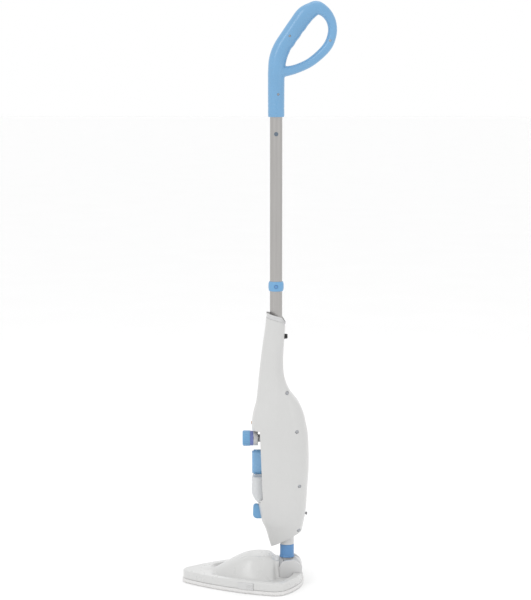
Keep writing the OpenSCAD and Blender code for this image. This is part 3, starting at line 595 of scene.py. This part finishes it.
SHELL_SCREWS = ((19.5, 321), (25, 208.5), (-0.5, 398), (24, 112))
NECK_FRONT, NECK_SLOPE = (-43.5, 562), -17
NECK_BREAK, BREAK_SLOPE = (-11, 552), -56
STUD_Z, LENS_Z = 143, 333
BAND_Y, BAND_Z = (1, 25), (190, 315)


def side_band(y, z):
    """Raised rear band and the long crease of the upper flank, in millimetres out of the surface."""
    band = smoothstep(y, BAND_Y[0] - 1.5, BAND_Y[0] + 1.5)
    band = band * (1 - smoothstep(y, BAND_Y[1] + 4, BAND_Y[1] + 12))
    band = band * smoothstep(z, BAND_Z[0] - 60, BAND_Z[0]) * (1 - smoothstep(z, BAND_Z[1], BAND_Z[1] + 30))
    middle = np.interp(z, (325, 380, 440, 500), (-14, -20, -24, -26))
    ridge = np.exp(-((y - middle) / 5.5) ** 2) * smoothstep(z, 325, 360) * (1 - smoothstep(z, 450, 520))
    hollow = np.exp(-((y - middle - 13) / 6) ** 2) * smoothstep(z, 350, 385) * (1 - smoothstep(z, 430, 480))
    return 0.9 * band + 1.6 * ridge - 1.8 * hollow


def body_solid(name, inset, sides=112, steps=8, relief=False):
    rows = spline_rows(BODY_ROWS, steps)
    turn = np.linspace(0, 2 * math.pi, sides, endpoint=False)
    power = 2 / BODY_POWER
    c, s = np.cos(turn), np.sin(turn)
    rings = []
    for z, front, rear, half in rows:
        x = (half - inset) * np.sign(c) * np.abs(c) ** power
        y = (front + rear) / 2 + ((rear - front) / 2 - inset) * np.sign(s) * np.abs(s) ** power
        if relief:
            x = x + np.sign(x) * side_band(y, z) * smoothstep(np.abs(x), 4, 14)
        rings.append(np.stack([x, y, np.full(sides, z)], axis=1))
    return lofted(name, rings)


def turned_box(low, high, place, degrees):
    piece = box_mm(low, high)
    turn = math.radians(degrees)
    for v in piece.data.vertices:
        y, z = v.co.y, v.co.z
        v.co.y = y * math.cos(turn) - z * math.sin(turn) + place[0] * MM
        v.co.z = y * math.sin(turn) + z * math.cos(turn) + place[1] * MM
    return piece


def above_neck(drop):
    piece = turned_box((-60, -60, 0), (60, 80, 80), (NECK_FRONT[0], NECK_FRONT[1] - drop), NECK_SLOPE)
    rear = turned_box((-61, -60, 0), (61, 90, 90), (NECK_BREAK[0], NECK_BREAK[1] - drop), BREAK_SLOPE)
    cut(piece, [rear], "UNION")
    return piece


def below_body(lift=0.0):
    return turned_box((-80, -60, -120), (80, 90, 0), (-31, 76 + lift), 28)


def drop_outline(grow, sides=14):
    """Teardrop of the release button, seen from the front."""
    lean = math.asin(3 / 18)
    small = [(math.cos(a) * (6 + grow), 158 + math.sin(a) * (6 + grow))
             for a in np.linspace(lean, math.pi - lean, sides)]
    big = [(math.cos(a) * (9 + grow), 140 + math.sin(a) * (9 + grow))
           for a in np.linspace(math.pi - lean, 2 * math.pi + lean, 2 * sides)]
    return small + big


def body_side(y, z):
    row = spline_rows(BODY_ROWS, 8)
    front, rear, half = (np.interp(z, row[:, 0], row[:, k]) for k in (1, 2, 3))
    middle, reach = (front + rear) / 2, (rear - front) / 2
    return half * (1 - abs((y - middle) / reach) ** BODY_POWER) ** (1 / BODY_POWER)


def make_shells():
    shell = body_solid("steam_unit_shell", 0, relief=True)
    inner = body_solid("inner", SHELL_WALL)
    cut(inner, [below_body(SHELL_WALL)])
    cutters = [inner, below_body(), above_neck(10),
               prism_mm([(-120, BAY_BOTTOM), (-62, BAY_BOTTOM), (-50, BAY_BOTTOM + 8), (-56, PANEL_TOP),
                         (-120, PANEL_TOP)], 0, -80, 80),
               box_mm((-BAY_HALF_W, FRONT_EDGE - BAY_GAP, BAY_BOTTOM - BAY_WALL - BAY_GAP),
                      (BAY_HALF_W, BAY_BACK + BAY_WALL, BAY_TOP + BAY_WALL + BAY_GAP)),
               box_mm((-BAY_HALF_W - BAY_GAP, -120, BAY_BOTTOM - BAY_GAP),
                      (BAY_HALF_W + BAY_GAP, FRONT_EDGE, BAY_TOP)),
               prism_mm(drop_outline(0.45), 1, -90, -30),
               rod_mm(2, 14.5, 60, 105, (0, 0)),
               rod_mm(1, 6.2, -12, 20, (0, 512)),
               rod_mm(1, 1.7, 20, 60, (0, STUD_Z)),
               rod_mm(1, 3.1, -90, -60, (0, LENS_Z))]
    for y, z in SHELL_SCREWS:
        reach = body_side(y, z)
        cutters.append(rod_mm(0, 3.6, reach - 9, 90, (y, z), sides=40))
    for cutter in cutters:
        cut(shell, [cutter])
    shade(shell, 38)
    for side in (1, -1):
        half = bpy.data.objects.new("shell_left" if side > 0 else "shell_right", shell.data.copy())
        bpy.context.scene.collection.objects.link(half)
        keep_side(half, side, PART_LINE)
        shade(half, 38)
        stands_for(half, "left_shell" if side > 0 else "right_shell")
        dress(half, white_painted_seam_shade)
    bpy.data.objects.remove(shell)


make_shells()


def make_neck_rim():
    """Slanted collar at the top of the neck: a step, a groove and a proud lip."""
    rim = body_solid("neck_rim", 0.6)
    cut(rim, [above_neck(9.8)], "INTERSECT")
    lip = body_solid("lip", -0.2)
    cut(lip, [above_neck(3.6)], "INTERSECT")
    cut(rim, [lip], "UNION")
    cut(rim, [above_neck(0), rod_mm(2, 12.65, 480, 640, (0, POLE_Y), sides=96)])
    bevelled(rim, 0.5, 2, 40)
    shade(rim, 40)
    stands_for(rim, "top_rim")
    dress(rim, looks["white_plastic"])


make_neck_rim()

# ---------------------------------------------------------------- floor head

TIP_R, CORNER_R, SIDE_R = 26, 26, 420
TIP_C = np.array((0.0, -215 + TIP_R))
CORNER_C = np.array((118.0 - CORNER_R, -25.0))
REAR_K = (CORNER_C @ CORNER_C - (33 - CORNER_R) ** 2) / (2 * (33 - CORNER_R) - 2 * CORNER_C[1])
REAR_C = np.array((0.0, -REAR_K))
REAR_R = 33 + REAR_K


def met_circle(p, rp, q, rq):
    d = np.linalg.norm(q - p)
    a = (rp * rp - rq * rq + d * d) / (2 * d)
    h = math.sqrt(rp * rp - a * a)
    u = (q - p) / d
    return p + a * u + h * np.array((-u[1], u[0]))


SIDE_C = met_circle(TIP_C, SIDE_R - TIP_R, CORNER_C, SIDE_R - CORNER_R)


def arc_points(centre, radius, start, end, count):
    turn = np.linspace(start, end, count)
    return np.stack([centre[0] + radius * np.cos(turn), centre[1] + radius * np.sin(turn)], axis=1)


def heading(v):
    return math.atan2(v[1], v[0])


def head_outline(inset, dense=10):
    rear, corner, tip = heading(CORNER_C - REAR_C), heading(CORNER_C - SIDE_C), heading(TIP_C - SIDE_C)
    half = np.vstack([
        arc_points(REAR_C, REAR_R - inset, math.pi / 2, rear, 4 * dense),
        arc_points(CORNER_C, CORNER_R - inset, rear, corner, 3 * dense)[1:],
        arc_points(SIDE_C, SIDE_R - inset, corner, tip, 6 * dense)[1:],
        arc_points(TIP_C, TIP_R - inset, tip, -math.pi / 2, 3 * dense)[1:]])
    other = half[-2:0:-1] * (-1, 1)
    return np.vstack([half, other])


RIM_TOP, COVER_Z, MOAT_Z = 25, 9.5, 14.5
dome_height = curve_through([(-230, 24.5), (-190, 25), (-166, 26), (-150, 28.5), (-128, 39), (-109, 48.5),
                             (-90, 56.5), (-73, 61), (-50, 61.8), (-34, 59.5), (-17, 50), (40, 48)])
dome_foot = curve_through([(-230, 2), (-172, 4), (-160, 14), (-150, 25), (-125, 41), (-95, 52), (-68, 60),
                           (-48, 62), (-30, 52), (-17, 34), (40, 32)])
dome_crown = curve_through([(-230, 1), (-172, 2), (-150, 8), (-125, 16), (-95, 22), (-60, 24), (-17, 22),
                            (40, 22)])


def edge_distance(points):
    """How far each point lies inside the head's outline."""
    line = head_outline(0, 12)
    a, b = line, np.roll(line, -1, axis=0)
    way = b - a
    size = (way ** 2).sum(axis=1)
    out = np.empty(len(points))
    for i, p in enumerate(points):
        t = np.clip(((p - a) * way).sum(axis=1) / size, 0, 1)
        out[i] = np.sqrt((((a + way * t[:, None]) - p) ** 2).sum(axis=1).min())
    return out


def head_height(x, y, inside):
    """Top of the head cover: rim, recess either side of the dome, dome with a crown and a flared foot."""
    rim = RIM_TOP - 2.2 * (1 - smoothstep(inside, 0, 3.2)) ** 2
    recess = smoothstep(inside, 15, 20.5) * smoothstep(y, -158, -140) * (1 - smoothstep(y, 6, 13))
    base = rim + (MOAT_Z - RIM_TOP) * recess
    foot, crown, top = dome_foot(y), dome_crown(y), dome_height(y)
    u = np.clip((np.abs(x) - crown) / np.maximum(foot - crown, 1), 0, 1)
    fall = 0.5 * (1 - u ** 1.5) + 0.5 * (1 - smoothstep(u, 0, 1))
    crowned = top - 2.2 * (np.minimum(np.abs(x) / np.maximum(crown, 1), 1)) ** 2 * smoothstep(y, -175, -140)
    dome = base + (crowned - base) * fall
    dome = np.where(u >= 1, base, np.maximum(dome, base))
    return dome * smoothstep(y, -185, -165) + base * (1 - smoothstep(y, -185, -165))


def make_head():
    inset_steps = np.concatenate([np.linspace(0, 4, 8), np.linspace(5, 24, 17)])
    rings = [head_outline(d, 10) for d in inset_steps]
    middle = np.array((0.0, -75.0))
    inner = rings[-1]
    rings += [middle + (inner - middle) * k for k in np.linspace(0.98, 0.0, 62)[:-1]]
    flat = np.vstack(rings)
    n, m = len(rings[0]), len(rings)
    inside = edge_distance(flat)
    x, y = flat[:, 0], flat[:, 1]
    top = head_height(x, y, inside)
    hinge = (np.abs(x) < 37) & (y > -20)
    under = COVER_Z + (top - 2.6 - COVER_Z) * smoothstep(inside, 2.6, 5) * (~hinge)
    centre_top = head_height(np.array([middle[0]]), np.array([middle[1]]), np.array([60.0]))[0]
    verts = np.vstack([np.column_stack([flat, top]), (middle[0], middle[1], centre_top),
                       np.column_stack([flat, under]), (middle[0], middle[1], centre_top - 2.6)])
    faces = []
    shift = n * m + 1
    for j in range(m - 1):
        for i in range(n):
            a, b = j * n + i, j * n + (i + 1) % n
            faces.append((a, b, b + n, a + n))
            faces.append((a + shift, a + n + shift, b + n + shift, b + shift))
    last = (m - 1) * n
    for i in range(n):
        a, b = last + i, last + (i + 1) % n
        faces.append((a, b, n * m))
        faces.append((b + shift, a + shift, n * m + shift))
        faces.append(((i + 1) % n, i, i + shift, (i + 1) % n + shift))
    head = piece_from("head_shell", verts * MM, faces)
    outward(head)
    cut(head, [box_mm((-33, -16.8, -5), (33, 24, 80)), box_mm((-33, 20, 14), (33, 60, 80))])
    shade(head, 50)
    stands_for(head, "head_cover")
    dress(head, head_white)


make_head()

# ---------------------------------------------------------------- cloth pad

PAD_TOP = 6.5
PAD_VOXEL = 4.5
PAD_SWELL = 1.6
BINDING_OUT, BINDING_MIDDLE, BINDING_RISE = 2.2, 4.6, 4.4
STITCH = 6.0


def make_pad():
    """Microfibre pad: a slab swollen by cloth pressure, laid flat on the floor, with a bound edge."""
    slab = lofted("cloth_pad", [np.column_stack([head_outline(d, 6), np.full(len(head_outline(0, 6)), z)])
                                for d, z in ((2.5, 0.8), (1.2, 2.4), (1.2, 4.8), (2.5, 6.1))])
    modifier = slab.modifiers.new("remesh", "REMESH")
    modifier.mode = "VOXEL"
    modifier.voxel_size = PAD_VOXEL * MM * 0.6
    settle(slab)
    count = len(slab.data.vertices)
    start = np.empty(count * 3)
    slab.data.vertices.foreach_get("co", start)
    bpy.context.view_layer.objects.active = slab
    modifier = slab.modifiers.new("cloth", "CLOTH")
    settings = modifier.settings
    settings.quality = 5
    settings.use_pressure = True
    settings.uniform_pressure_force = 3
    settings.effector_weights.gravity = 0
    for step in range(1, 13):
        bpy.context.scene.frame_set(step)
    settle(slab)
    bpy.context.scene.frame_set(1)
    now = np.empty(count * 3)
    slab.data.vertices.foreach_get("co", now)
    start, now = start.reshape(-1, 3), now.reshape(-1, 3)
    move = now - start
    far = np.linalg.norm(move, axis=1)
    move *= np.minimum(1, PAD_SWELL * MM / np.maximum(far, 1e-9))[:, None]
    placed = start + move
    placed[:, 2] = np.clip(placed[:, 2], 0, PAD_TOP * MM)
    slab.data.vertices.foreach_set("co", placed.ravel())
    slab.data.update()
    subdivide = slab.modifiers.new("subdivide", "SUBSURF")
    subdivide.levels = subdivide.render_levels = 1
    settle(slab)
    at = np.empty(len(slab.data.vertices) * 3)
    slab.data.vertices.foreach_get("co", at)
    at = at.reshape(-1, 3)
    at[:, 2] = np.clip(at[:, 2], 0, PAD_TOP * MM)
    slab.data.vertices.foreach_set("co", at.ravel())
    shade(slab, 80)
    stands_for(slab, "pad")
    dress(slab, looks["pad_cloth"])
    binding = make_binding()
    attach(binding, "head")
    dress(binding, looks["pad_cloth"])


def make_binding():
    """Sewn tape round the edge of the pad, drawn in a little at each stitch."""
    path = head_outline(0.4, 40)
    n = len(path)
    sides = 12
    turn = np.linspace(0, 2 * math.pi, sides, endpoint=False)
    along = np.concatenate([[0], np.cumsum(np.linalg.norm(np.diff(path, axis=0), axis=1))])
    verts = []
    for i in range(n):
        way = path[(i + 1) % n] - path[i - 1]
        way = way / np.linalg.norm(way)
        out = np.array((way[1], -way[0]))
        if out @ (path[i] - (0, -80)) < 0:
            out = -out
        pinch = 1 - 0.08 * (0.5 + 0.5 * math.cos(2 * math.pi * along[i] / STITCH))
        for t in turn:
            p = path[i] + out * BINDING_OUT * math.cos(t) * pinch
            verts.append((p[0], p[1], BINDING_MIDDLE + BINDING_RISE * math.sin(t) * pinch))
    faces = [(i * sides + k, i * sides + (k + 1) % sides, ((i + 1) % n) * sides + (k + 1) % sides,
              ((i + 1) % n) * sides + k) for i in range(n) for k in range(sides)]
    binding = piece_from("pad_binding", np.array(verts) * MM, faces)
    outward(binding)
    shade(binding, 80)
    return binding


make_pad()

# ---------------------------------------------------------------- moulded CAD shapes with rounded edges

# The tank bay and front panel take the grey slot, which is partly painted shade. The knob skirt's own look
# is painted shade too.
for node, voxel, smoothing in (
        ("yoke", 0.5, 2), ("hinge_base", 0.7, 4), ("neck_knuckle", 0.45, 2), ("neck_collar", 0.45, 3),
        ("outlet_socket", 0.6, 2), ("pad_clip_left", 0.35, 3), ("pad_clip_right", 0.35, 3),
        ("front_panel", 0.6, 2), ("tank_bay", 0.6, 2), ("knob_boss", 0.5, 3), ("knob_skirt", 0.4, 3),
        ("steam_knob", 0.4, 3), ("tank_latch", 0.45, 5), ("release_button", 0.45, 5),
        ("cord_gland", 0.35, 3), ("rear_stud", 0.25, 3), ("indicator_lens", 0.3, 3),
        ("coupling_button", 0.3, 3), ("handle_button", 0.3, 3)):
    piece = softened(node, voxel, smoothing)
    own_look = {"knob_skirt": painted_shade_skirt_blue, "tank_latch": latch_blue}
    dress(piece, own_look.get(node, looks[node_slot[node]]))
